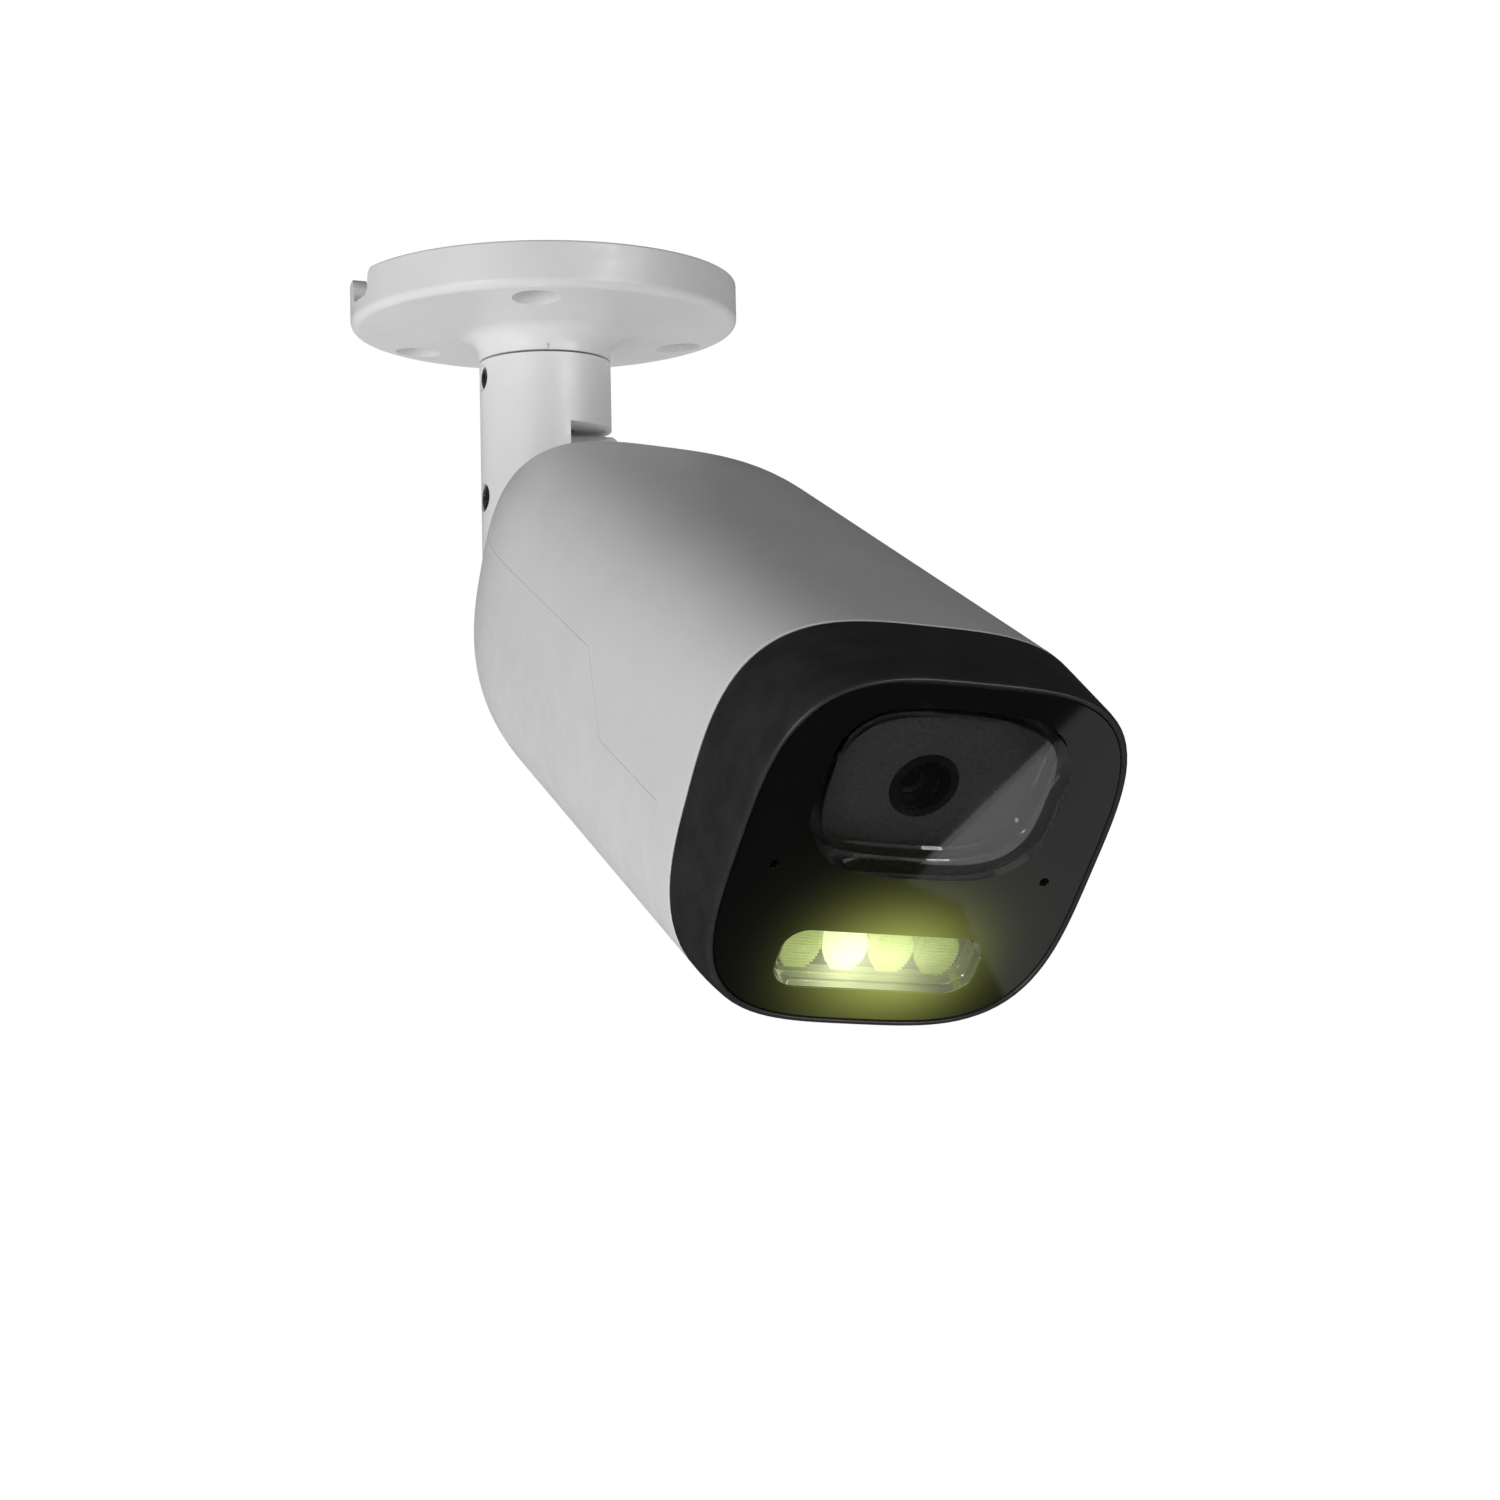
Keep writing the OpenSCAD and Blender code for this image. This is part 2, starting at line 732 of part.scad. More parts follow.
module rear_element() {
  color([0.2, 0.22, 0.3, 0.6])
  camera() along(137.5, 0, lens_up) translate([0, 0, 2]) cylinder(r = 4.5, h = 3);
}

module lens_holder() {
  color(hood_black)
  camera() difference() {
    union() {
      translate([-12, -140, lens_up - 9.4]) cube([24, 9.95, 18.8]);
      along(139, 0, lens_up) cylinder(r = 8, h = 11);
    }
    translate([-6, -132, lens_up - 5]) cube([12, 3, 10]);
    translate([-10.8, -136.4, lens_up - 4.2]) cube([21.6, 5, 8.4]);
    along(136, 0, lens_up) cylinder(r = 6, h = 20);
  }
}

// Slide that swaps the daylight filter for a clear pane.
module ir_slide() {
  color(hood_black)
  camera() difference() {
    translate([-3.5, -134.8, lens_up - 3.9]) cube([14, 0.8, 7.8]);
    for (x = [0, 7]) {
      along(133, x, lens_up) cylinder(r = 2.6, h = 3);
    }
  }
}

module ir_filter() {
  color([0.5, 0.25, 0.35, 0.7])
  camera() along(134.85, 0, lens_up) cylinder(r = 3.1, h = 0.5);
}

module clear_pane() {
  color([0.75, 0.85, 0.85, 0.5])
  camera() along(134.85, 7, lens_up) cylinder(r = 3.1, h = 0.5);
}

module image_sensor() {
  color([0.15, 0.2, 0.3])
  camera() translate([-4, -sensor_at - 1.25, lens_up - 3.2]) cube([8, 1.2, 6.4]);
}

module sensor_board() {
  color(board_green)
  camera() difference() {
    translate([-15.3, -sensor_at, lens_up - 15]) cube([30.6, 1.6, 30]);
    sensor_positions(sensor_at - 2) cylinder(r = 1.1, h = 3);
  }
}

module sensor_ribbon() {
  color([0.85, 0.6, 0.25])
  camera() rotate([90, 0, 90]) linear_extrude(10, center = true) polygon([
    [-128.35, 3], [-128.35, -5], [-126.6, -7.3], [-117, -7.3], [-117, -7.05], [-126.5, -7.05],
    [-128.1, -4.9], [-128.1, 3]
  ]);
}

// ---- main board ------------------------------------------------------------

module main_board() {
  color(board_green)
  camera() difference() {
    translate([-21, -122, board_z]) cube([42, 60, 1.6]);
    board_positions(board_z - 1) cylinder(r = 1.6, h = 4);
  }
}

module processor() {
  color(hood_black)
  camera() translate([-7, -99, board_z + 1.65]) cube([14, 14, 1.4]);
}

module heat_sink() {
  fins = 7;
  color(metal)
  camera() {
    translate([-11, -103, board_z + 3.1]) cube([22, 22, 2]);
    for (i = [0:fins - 1]) {
      translate([-11 + (22 - 1.2) * i / (fins - 1), -103, board_z + 4.6]) cube([1.2, 22, 9]);
    }
  }
}

module board_connectors() {
  color([0.93, 0.92, 0.88])
  camera() for (x = [-13, -4, 5]) {
    difference() {
      translate([x, -72, board_z + 1.65]) cube([8, 6, 4.5]);
      translate([x + 1, -71, board_z + 2.9]) cube([6, 6, 2.3]);
    }
  }
}

module board_screws() {
  color(metal)
  camera() {
    board_positions(board_z + 2.95) rotate([180, 0, 0]) pan_screw(4.4, 1.3, 2.5, 5.5, 0.7);
    sensor_positions(sensor_at - 3) pan_screw(3.4, 1.3, 1.7, 6, 0.7);
  }
}

base_plate();
arm();
pan_set_screw();
tilt_screw();
tilt_nut();
knuckle();
roll_set_screw();
roll_stub();
stub_screws();
cable_gland();
housing();
cover();
cover_seal();
cover_screws();
service_board();
card_socket();
reset_switch();
reset_button();
hood();
front_gasket();
front_glass();
lens_window();
mask_plate();
lens_cone();
light_window();
light_optics();
light_chips();
light_board();
front_frame();
frame_screws();
microphones();
lens_barrel();
front_element();
rear_element();
lens_holder();
ir_slide();
ir_filter();
clear_pane();
image_sensor();
sensor_board();
sensor_ribbon();
main_board();
processor();
heat_sink();
board_connectors();
board_screws();
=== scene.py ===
"""Looks of the ceiling-mounted security camera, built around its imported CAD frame."""

import json
import math

import bmesh
import bpy
from mathutils import Matrix, Vector


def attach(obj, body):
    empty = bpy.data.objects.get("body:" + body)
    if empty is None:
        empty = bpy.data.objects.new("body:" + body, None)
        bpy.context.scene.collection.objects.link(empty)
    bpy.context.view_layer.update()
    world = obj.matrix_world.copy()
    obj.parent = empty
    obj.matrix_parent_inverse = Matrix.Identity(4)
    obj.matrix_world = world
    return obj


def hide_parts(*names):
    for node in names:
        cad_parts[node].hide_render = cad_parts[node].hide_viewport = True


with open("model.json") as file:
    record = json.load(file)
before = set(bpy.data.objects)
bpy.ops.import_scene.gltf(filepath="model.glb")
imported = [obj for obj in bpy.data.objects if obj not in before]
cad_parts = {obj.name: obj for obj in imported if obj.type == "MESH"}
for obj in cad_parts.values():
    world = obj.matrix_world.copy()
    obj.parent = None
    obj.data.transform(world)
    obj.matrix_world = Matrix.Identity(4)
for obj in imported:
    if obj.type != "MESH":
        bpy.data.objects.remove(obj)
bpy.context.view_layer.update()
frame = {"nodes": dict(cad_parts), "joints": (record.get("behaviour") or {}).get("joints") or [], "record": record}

MM = 0.001
AROUND = 128  # segments around a turned piece or the body

# ---- frames and sizes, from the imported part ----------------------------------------

JOINTS = {j["name"]: j for j in frame["joints"]}
PIVOT = Vector(JOINTS["tilt"]["pos_m"])
SIDE = -Vector(JOINTS["filter_slide"]["axis"])
BACK = Vector(JOINTS["roll"]["axis"])
UP = Vector(JOINTS["reset_press"]["axis"])


def frame_matrix(x, y, z, origin):
    """Matrix whose columns are three axes and an origin."""
    m = Matrix.Identity(4)
    for column, v in enumerate((x, y, z, origin)):
        for row in range(3):
            m[row][column] = v[row]
    return m


# the tilting knuckle: origin on the tilt axis, -Y forward
TILTED = frame_matrix(Vector((1, 0, 0)), BACK, Vector((1, 0, 0)).cross(BACK), PIVOT)
# the camera: origin on its own axis below the tilt axis, -Y forward
CAMERA = frame_matrix(SIDE, BACK, UP, Vector(JOINTS["roll"]["pos_m"]))


def corners(node, m=Matrix.Identity(4)):
    """Lowest and highest corner of a CAD node in a frame, in millimetres."""
    inverse = m.inverted()
    points = [inverse @ v.co / MM for v in frame["nodes"][node].data.vertices]
    low = [min(p[i] for p in points) for i in range(3)]
    high = [max(p[i] for p in points) for i in range(3)]
    return low, high


base_low, base_high = corners("base_plate")
arm_low, arm_high = corners("arm")
shell_high = corners("housing", CAMERA)[1]

BASE_R = base_high[0]
ARM_R = arm_high[0]
SWIVEL_Z = arm_high[2] + 0.4  # the gap where the arm turns on the base
PIVOT_Z = PIVOT.z / MM
LAP_X = 0.9  # plane where the two tongues meet
HALF_W = shell_high[0]
HALF_H = shell_high[2]
AXIS_DROP = (PIVOT - CAMERA.translation).length / MM
SQUARE = 3.4  # squareness of the body's section above its axis
BELOW = 2.7  # and below it
NECK_END = -shell_high[1] - 0.2
BODY_FULL = 70.0
HOOD_REAR = 157.7
FRONT = 172.0
SEAM_LEAN = 0.146
FRONT_LEAN = 0.3
RIM_SCALE = 0.93
WALL = 2.2
HOLE_RADIUS = 28  # from the base's middle to its mounting holes
HOLE_TURN = 10  # azimuth of the first of them
NOTCH_TURN = 184
NOTCH_HALF = 4.0
MARK_TURN = -104  # azimuth of the index mark
PAN_SCREW_Z = -17.2
ROLL_SCREW_FORWARD = 14.6
COVER_SCREWS = (60, 142)
GLASS_SINK = 0.8
GLASS_T = 2.4
LENS_UP = 9.1
LED_PITCH = 6.7
LED_DROP = 16.6
BARREL_START = 137.5
LENS_RING_START = 166.2
MIC_OUT = 19.3
MIC_Z = -2.2
LEAN = math.atan(FRONT_LEAN)

# the leaning front: X to the side, Y up the glass, Z out of it
FACE = (
    CAMERA
    @ Matrix.Translation((0, -FRONT * MM, 0))
    @ Matrix.Rotation(LEAN + math.pi / 2, 4, "X")
)


def along(f, x=0.0, z=0.0, m=CAMERA):
    """Frame with +Z forward, at a forward distance f."""
    return m @ Matrix.Translation((x * MM, -f * MM, z * MM)) @ Matrix.Rotation(math.pi / 2, 4, "X")


def lifted(z):
    """Height up the leaning glass of a height above the camera's axis."""
    return z / math.cos(LEAN)


# ---- mesh building -------------------------------------------------------------------


def mesh_object(name, points, faces, m=Matrix.Identity(4)):
    """Object from points in millimetres, placed by baking the matrix into the mesh."""
    mesh = bpy.data.meshes.new(name)
    mesh.from_pydata([m @ (Vector(p) * MM) for p in points], [], faces)
    bm = bmesh.new()
    bm.from_mesh(mesh)
    bmesh.ops.remove_doubles(bm, verts=bm.verts, dist=1e-7)
    bmesh.ops.recalc_face_normals(bm, faces=bm.faces)
    bm.to_mesh(mesh)
    bm.free()
    obj = bpy.data.objects.new(name, mesh)
    bpy.context.scene.collection.objects.link(obj)
    return obj


def loft(name, rings, m=Matrix.Identity(4), loop=False):
    """Skin through rings of equal length: capped at both ends, or closed into a loop."""
    k = len(rings[0])
    count = len(rings)
    faces = []
    for j in range(count if loop else count - 1):
        a, b = j * k, (j + 1) % count * k
        faces += [(a + i, b + i, b + (i + 1) % k, a + (i + 1) % k) for i in range(k)]
    if not loop:
        faces += [tuple(range(k)), tuple(range((count - 1) * k, count * k))]
    return mesh_object(name, [p for r in rings for p in r], faces, m)


def lathe(name, profile, m=Matrix.Identity(4), segments=AROUND):
    """Closed profile of (radius, height) turned about Z. Radius 0 meets the axis."""
    rings = []
    for r, z in profile:
        turns = [2 * math.pi * (i + 0.5) / segments for i in range(segments)]
        rings.append([(r * math.cos(t), r * math.sin(t), z) for t in turns])
    return loft(name, rings, m, loop=all(r > 0 for r, z in profile))


def cylinder(r, low, high, m=Matrix.Identity(4), segments=AROUND):
    return lathe("cutter", [(0, low), (r, low), (r, high), (0, high)], m, segments)


def prism(name, outline, low, high, m=Matrix.Identity(4)):
    """Flat outline extruded along Z between two heights."""
    return loft(name, [[(x, y, z) for x, y in outline] for z in (low, high)], m)


def box(low, high, m=Matrix.Identity(4)):
    (x0, y0, z0), (x1, y1, z1) = low, high
    return prism("cutter", [(x0, y0), (x1, y0), (x1, y1), (x0, y1)], z0, z1, m)


def combine(obj, other, operation):
    """Boolean with another object, which is used up."""
    mod = obj.modifiers.new("combine", "BOOLEAN")
    mod.operation = operation
    mod.solver = "EXACT"
    mod.object = other
    apply_modifiers(obj)
    bpy.data.objects.remove(other, do_unlink=True)
    return obj


def cut(obj, *others):
    for other in others:
        combine(obj, other, "DIFFERENCE")
    return obj


def add(obj, *others):
    for other in others:
        combine(obj, other, "UNION")
    return obj


def keep(obj, other):
    return combine(obj, other, "INTERSECT")


def apply_modifiers(obj):
    depsgraph = bpy.context.evaluated_depsgraph_get()
    mesh = bpy.data.meshes.new_from_object(obj.evaluated_get(depsgraph))
    old = obj.data
    mesh.name = old.name
    obj.modifiers.clear()
    obj.data = mesh
    bpy.data.meshes.remove(old)


def soften(obj, width, angle=32, segments=3):
    """Rounded edges and clean shading."""
    for p in obj.data.polygons:
        p.use_smooth = True
    if width:
        bevel = obj.modifiers.new("edges", "BEVEL")
        bevel.width = width * MM
        bevel.segments = segments
        bevel.limit_method = "ANGLE"
        bevel.angle_limit = math.radians(angle)
        bevel.harden_normals = True
        bevel.use_clamp_overlap = True
    normals = obj.modifiers.new("normals", "WEIGHTED_NORMAL")
    normals.keep_sharp = True
    return obj


def squared(a, b, n, t):
    """Point of a squared ellipse at the angle t."""
    c, s = math.cos(t), math.sin(t)
    x = math.copysign(abs(c) ** (2 / n), c)
    y = math.copysign(abs(s) ** (2 / n), s)
    return a * x, b * y


def squircle(a, b, n=SQUARE, x=0.0, y=0.0, count=AROUND, below=None):
    """Squared ellipse with evenly spread points, as an outline. Its lower half can be rounder."""
    turns = [2 * math.pi * i / (24 * count) for i in range(24 * count)]
    dense = [squared(a, b, below if below and t > math.pi else n, t) for t in turns]
    lengths = [0.0]
    for p, q in zip(dense, dense[1:] + dense[:1]):
        lengths.append(lengths[-1] + math.dist(p, q))
    points = []
    j = 0
    for i in range(count):
        while lengths[j + 1] < lengths[-1] * i / count:
            j += 1
        points.append((x + dense[j][0], y + dense[j][1]))
    return points


def ring(f, a, b, n=SQUARE, lean=0.0, below=None):
    """Body section at a forward distance f, leaning forward with height."""
    return [(x, -f - lean * z, z) for x, z in squircle(a, b, n, below=below)]


def stadium(w, h, r, x=0.0, y=0.0, steps=10):
    """Rectangle with round corners, as an outline."""
    points = []
    for corner in range(4):
        cx = x + (w / 2 - r) * (1 if corner in (0, 3) else -1)
        cy = y + (h / 2 - r) * (1 if corner in (0, 1) else -1)
        for i in range(steps + 1):
            t = math.pi / 2 * (corner + i / steps)
            points.append((cx + r * math.cos(t), cy + r * math.sin(t)))
    return points


def arc(cx, cy, r, start, end, steps=8):
    """Points of an arc between two angles in degrees."""
    turns = [math.radians(start + (end - start) * i / steps) for i in range(steps + 1)]
    return [(cx + r * math.cos(t), cy + r * math.sin(t)) for t in turns]


# ---- materials -------------------------------------------------------------------------


def material(name, color, roughness, metallic=0.0, **sockets):
    """Principled material and its nodes. Extra sockets are set by name."""
    m = bpy.data.materials.new(name)
    m.use_nodes = True
    shader = m.node_tree.nodes["Principled BSDF"]
    shader.inputs["Base Color"].default_value = (*color, 1)
    shader.inputs["Roughness"].default_value = roughness
    shader.inputs["Metallic"].default_value = metallic
    for socket, value in sockets.items():
        shader.inputs[socket.replace("_", " ")].default_value = value
    return m


def node(m, kind, **inputs):
    n = m.node_tree.nodes.new(kind)
    for socket, value in inputs.items():
        n.inputs[socket.replace("_", " ")].default_value = value
    return n


def link(m, source, target):
    m.node_tree.links.new(source, target)


def noise(m, scale, detail=3.0, stretch=(1, 1, 1)):
    """Object-space noise, output 0 to 1."""
    place = node(m, "ShaderNodeTexCoord")
    mapping = node(m, "ShaderNodeMapping", Scale=stretch)
    texture = node(m, "ShaderNodeTexNoise", Scale=scale, Detail=detail, Roughness=0.6)
    link(m, place.outputs["Object"], mapping.inputs["Vector"])
    link(m, mapping.outputs["Vector"], texture.inputs["Vector"])
    return texture.outputs["Fac"]


def ramp(m, value, low, high, out_low, out_high):
    """Value mapped from one range to another."""
    n = node(m, "ShaderNodeMapRange", From_Min=low, From_Max=high, To_Min=out_low, To_Max=out_high)
    link(m, value, n.inputs["Value"])
    return n.outputs["Result"]


def bump(m, height, distance, strength=1.0):
    shader = m.node_tree.nodes["Principled BSDF"]
    n = node(m, "ShaderNodeBump", Strength=strength, Distance=distance)
    link(m, height, n.inputs["Height"])
    link(m, n.outputs["Normal"], shader.inputs["Normal"])


def vary_color(m, value, dark, light):
    """Colour between two tones, by a value from 0 to 1."""
    shader = m.node_tree.nodes["Principled BSDF"]
    n = m.node_tree.nodes.new("ShaderNodeMix")
    n.data_type = "RGBA"
    n.inputs["A"].default_value = (*dark, 1)
    n.inputs["B"].default_value = (*light, 1)
    link(m, value, n.inputs["Factor"])
    link(m, n.outputs["Result"], shader.inputs["Base Color"])


def vary_roughness(m, value, low, high):
    shader = m.node_tree.nodes["Principled BSDF"]
    link(m, ramp(m, value, 0.3, 0.7, low, high), shader.inputs["Roughness"])


def tone(grey, warm=0.0):
    return (grey * (1 + warm), grey, grey * (1 - warm))


def enamel(name, grey, grain_scale, grain_height):
    """Satin white enamel over metal, with a fine orange-peel grain."""
    m = material(name, tone(grey), 0.42)
    cloud = noise(m, 60, 4)
    grain = noise(m, grain_scale, 2)
    vary_color(m, ramp(m, cloud, 0.35, 0.65, 0, 1), tone(grey * 0.965, 0.004), tone(grey))
    vary_roughness(m, noise(m, 350, 3), 0.36, 0.5)
    bump(m, grain, grain_height)
    return m


def plain(name, color, roughness, metallic=0.0, grain=900, height=2e-5, **sockets):
    """Simple material that still has grain and uneven gloss."""
    m = material(name, color, roughness, metallic, **sockets)
    value = ramp(m, noise(m, grain / 6, 4), 0.3, 0.7, 0, 1)
    vary_color(m, value, [c * 0.86 for c in color], color)
    vary_roughness(m, noise(m, grain, 2), roughness * 0.85, min(1, roughness * 1.15))
    bump(m, noise(m, grain, 3), height)
    return m


def clear(name, tint, ior, roughness=0.02):
    """Clear polished plastic or glass: seen through, with reflections by angle."""
    m = bpy.data.materials.new(name)
    m.use_nodes = True
    nodes = m.node_tree.nodes
    nodes.remove(nodes["Principled BSDF"])
    through = node(m, "ShaderNodeBsdfTransparent", Color=(*tint, 1))
    gloss = node(m, "ShaderNodeBsdfGlossy", Color=(1, 1, 1, 1), Roughness=roughness)
    fresnel = node(m, "ShaderNodeFresnel", IOR=ior)
    mix = nodes.new("ShaderNodeMixShader")
    link(m, fresnel.outputs["Fac"], mix.inputs["Fac"])
    link(m, through.outputs["BSDF"], mix.inputs[1])
    link(m, gloss.outputs["BSDF"], mix.inputs[2])
    link(m, mix.outputs["Shader"], nodes["Material Output"].inputs["Surface"])
    return m


def light_cover_material():
    """Clear cover of the lights, with a painted glow in front of each light."""
    m = clear("light window", (0.97, 1.0, 0.9), 1.4)
    # painted glow: emission in the clear cover stands in for the lights' light scattered in it
    painted_glow_spots = [(led_frame(i, -2.5).translation, 0.0038, g) for i, g in enumerate((0.04, 0.34, 0.2, 0.04))]
    painted_glow_spots.append((led_frame(1.5, -2.5).translation, 0.0120, 0.07))
    glow = node(m, "ShaderNodeEmission", Color=(0.86, 0.92, 0.55, 1))
    link(m, painted_halo(m, painted_glow_spots), glow.inputs["Strength"])
    total = m.node_tree.nodes.new("ShaderNodeAddShader")
    end = m.node_tree.nodes["Material Output"].inputs["Surface"]
    link(m, end.links[0].from_socket, total.inputs[0])
    link(m, glow.outputs["Emission"], total.inputs[1])
    link(m, total.outputs["Shader"], end)
    return m


def emission(m, color, strength, value=None):
    """Glow of one colour, shaped by an optional value."""
    shader = m.node_tree.nodes["Principled BSDF"]
    shader.inputs["Emission Color"].default_value = (*color, 1)
    shader.inputs["Emission Strength"].default_value = strength
    if value is not None:
        link(m, value, shader.inputs["Emission Strength"])


def calculate(m, operation, a, b=0.0):
    """Math node on values or numbers."""
    n = m.node_tree.nodes.new("ShaderNodeMath")
    n.operation = operation
    for i, v in enumerate((a, b)):
        if isinstance(v, (int, float)):
            n.inputs[i].default_value = v
        else:
            link(m, v, n.inputs[i])
    return n.outputs["Value"]


def painted_halo(m, painted_glow_spots):
    """Sum of soft round painted glows: (centre in metres, radius in metres, strength)."""
    place = node(m, "ShaderNodeTexCoord")
    total = 0.0
    for centre, radius, strength in painted_glow_spots:
        gap = m.node_tree.nodes.new("ShaderNodeVectorMath")
        gap.operation = "DISTANCE"
        link(m, place.outputs["Object"], gap.inputs[0])
        gap.inputs[1].default_value = centre
        share = calculate(m, "POWER", calculate(m, "DIVIDE", gap.outputs["Value"], radius), 2)
        fall = calculate(m, "EXPONENT", calculate(m, "MULTIPLY", share, -1))
        total = calculate(m, "ADD", calculate(m, "MULTIPLY", fall, strength), total)
    return total


# ---- placing -----------------------------------------------------------------------------


def place(obj, mat, body, slot, *nodes, edge=0.2, angle=32, segments=3):
    """Finish a piece: soft edges, material, the body it rides on and what it stands for."""
    soften(obj, edge, angle, segments)
    obj.data.materials.clear()
    obj.data.materials.append(mat)
    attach(obj, body)
    if nodes:
        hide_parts(*nodes)
    return obj


def x_axis(x=0.0, z=PIVOT_Z, y=0.0):
    """Frame with +Z along +X."""
    return Matrix.Translation((x * MM, y * MM, z * MM)) @ Matrix.Rotation(math.pi / 2, 4, "Y")


# camera frame with X along -forward, Y up and Z to the side, for side profiles
PROFILE = CAMERA @ Matrix(((0, 0, 1, 0), (1, 0, 0, 0), (0, 1, 0, 0), (0, 0, 0, 1)))


def side_prism(points, reach=40.0):
    """Cutter from a side profile of (forward, up) points."""
    return prism("cutter", [(-f, z) for f, z in points], -reach, reach, PROFILE)


# ---- bracket -----------------------------------------------------------------------------


def make_base():
    """Round base with a hollow back, three counterbored holes and a cable notch."""
    spigot_r = 8.5
    rim = 8.0
    profile = [(5.5, base_low[2]), (spigot_r, base_low[2]), (spigot_r, SWIVEL_Z), (ARM_R, SWIVEL_Z)]
    profile += arc(ARM_R + 4, SWIVEL_Z + 0.6, 4, 180, 90, 12)
    profile += arc(BASE_R - 1.6, -rim + 1.6, 1.6, -90, 0, 8)
    profile += arc(BASE_R - 0.4, -0.4, 0.4, 0, 90, 4)
    profile += [(BASE_R - 2.6, 0), (BASE_R - 2.6, -5), (ARM_R, -5), (ARM_R, 0), (5.5, 0)]
    base = lathe("base", profile, segments=192)
    for i in range(6):
        turn = Matrix.Rotation(math.radians(HOLE_TURN + 30 + 60 * i), 4, "Z")
        add(base, box((ARM_R - 1, -0.7, -6), (BASE_R - 2, 0.7, -1), turn))
    for i in range(3):
        turn = Matrix.Rotation(math.radians(HOLE_TURN + 120 * i), 4, "Z")
        turn = turn @ Matrix.Translation((HOLE_RADIUS * MM, 0, 0))
        add(base, cylinder(5.4, -6, -0.02, turn, 64))
        cut(base, cylinder(4.2, -12, -4, turn, 64), cylinder(2.25, -5, 1, turn, 48))
    # cable notch, with a mouth that flares towards the ceiling
    half = NOTCH_HALF
    mouth = [(half + 2, 1), (-half - 2, 1)] + [(-y, z) for y, z in arc(half + 2, -2, 2, 90, 180, 6)]
    mouth += arc(-half + 1.8, -2.9, 1.8, 180, 270, 6) + arc(half - 1.8, -2.9, 1.8, 270, 360, 6)
    mouth += arc(half + 2, -2, 2, 180, 90, 6)
    turn = Matrix.Rotation(math.radians(NOTCH_TURN), 4, "Z")
    across = turn @ Matrix(((0, 0, 1, 0), (1, 0, 0, 0), (0, 1, 0, 0), (0, 0, 0, 1)))
    cut(base, prism("cutter", mouth, 9, BASE_R + 5, across))
    # index mark above the swivel gap
    turn = Matrix.Rotation(math.radians(MARK_TURN), 4, "Z")
    cut(base, box((ARM_R - 0.3, -0.18, SWIVEL_Z - 1), (ARM_R + 2, 0.18, SWIVEL_Z + 1.1), turn))
    return base


def make_arm():
    """Arm under the base, cut away on one side for the knuckle's tongue."""
    top = arm_high[2]
    low = arm_low[2]
    shoulder = PIVOT_Z + ARM_R + 0.6
    arm = cylinder(ARM_R, low - 1, top)
    round_end = cylinder(ARM_R, -20, 20, x_axis(), 192)
    keep(arm, add(round_end, box((-20, -20, PIVOT_Z), (20, 20, 0))))
    cut(arm, box((LAP_X, -20, low - 5), (20, 20, shoulder)))
    cut(arm, cylinder(8.55, -23.3, 0), cylinder(5, shoulder - 3, -20))
    cut(arm, cylinder(2.6, -ARM_R - 1, -ARM_R + 2.1, x_axis(), 64))
    cut(arm, cylinder(2.05, -ARM_R, LAP_X + 1, x_axis(), 64))
    cut(arm, cylinder(2.5, -ARM_R - 1, -ARM_R + 0.5, x_axis(z=PAN_SCREW_Z), 64))
    cut(arm, cylinder(2.05, -ARM_R - 1, -6, x_axis(z=PAN_SCREW_Z), 64))
    arm.name = "arm_link"
    return arm


def make_knuckle():
    """Neck of the camera with its round tongue beside the arm's."""
    reach = NECK_END - 0.2
    knuckle = cylinder(ARM_R, -0.5, reach, along(0, 0, -AXIS_DROP, TILTED))
    hinge = TILTED @ Matrix.Rotation(math.pi / 2, 4, "Y")
    clearance = cylinder(ARM_R + 0.5, -20, LAP_X + 0.15, hinge, 192)
    add(clearance, box((-20, -6, -40), (LAP_X + 0.15, 30, 40), TILTED))
    add(clearance, box((-20, -ARM_R - 0.5, 0), (LAP_X + 0.15, 30, 40), TILTED))
    cut(knuckle, clearance)
    add(knuckle, cylinder(ARM_R, LAP_X + 0.15, ARM_R - 0.35, hinge, 192))
    cut(knuckle, cylinder(8.05, ARM_R + 0.6, reach + 5, along(0, 0, -AXIS_DROP, TILTED)))
    cut(knuckle, cylinder(2.05, -1, 8, hinge, 64))
    cut(knuckle, prism("cutter", squircle(4.1, 4.1, 2, count=6), 5.9, 14, hinge))
    roll_screw = Vector((0, -ROLL_SCREW_FORWARD, -AXIS_DROP - 8))
    cut(knuckle, cylinder(1.55, -6, 0, TILTED @ Matrix.Translation(roll_screw * MM), 32))
    knuckle.name = "knuckle_link"
    return knuckle


def make_screw(name, r, depth, recess, m, socket=False):
    """Screw head along +Z, outer face at 0, with a cross recess or a hexagonal socket."""
    profile = [(0, depth), (r, depth)] + arc(r - 0.3, 0.3, 0.3, 0, -90, 5) + [(0, 0)]
    head = lathe(name, profile, m, 64)
    if socket:
        return cut(head, prism("cutter", squircle(1.1, 1.1, 2, count=6), -1, recess, m))
    for turn in (0.4, 0.4 + math.pi / 2):
        arm = m @ Matrix.Rotation(turn, 4, "Z")
        cut(head, box((-r * 0.62, -0.36, -1), (r * 0.62, 0.36, recess), arm))
    return head


# ---- body --------------------------------------------------------------------------------


def swell(f):
    """Share of the full section that the body has reached."""
    t = max(0.0, min(1.0, (f - NECK_END) / (BODY_FULL - NECK_END)))
    return (1 - (1 - t) ** 2.4) * 1.03 * t / (t + 0.03)


